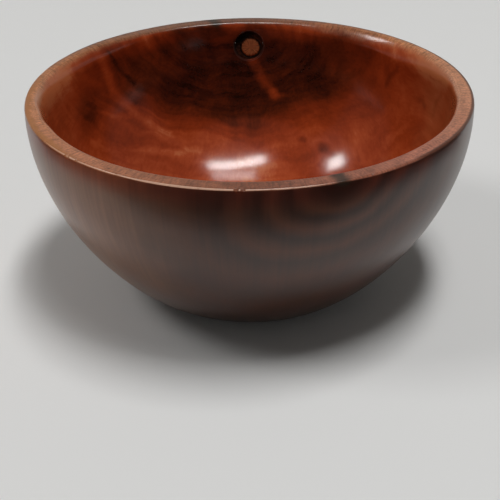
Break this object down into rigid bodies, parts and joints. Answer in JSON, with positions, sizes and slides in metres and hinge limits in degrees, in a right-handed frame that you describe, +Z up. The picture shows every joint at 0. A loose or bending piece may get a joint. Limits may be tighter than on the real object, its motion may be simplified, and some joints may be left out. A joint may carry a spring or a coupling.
{
  "type": "wooden bowl",
  "caption": "Small round bowl turned from dark red wood, with a full curved side, flat rim, narrow foot and a bark-ringed knot in the wall, for holding fruit, nuts or small things.",
  "frame": {"origin": "centre of the foot, on the surface that the bowl stands on", "axes": "+Z up along the turning axis, +Y towards the wall that holds the knot, +X to the right when facing the knot"},
  "size_m": [0.16, 0.16, 0.076],
  "materials": {
    "polished_wood": "polished red-brown wood, gloss inside and satin on the rim and outside",
    "knot_bark": "matt black-brown bark",
    "knot_wood": "satin end grain with fine checks"
  },
  "bodies": {
    "root": {"turned_bowl": "polished_wood", "knot_bark_ring": "knot_bark", "knot_core": "knot_wood"}
  },
  "joints": []
}
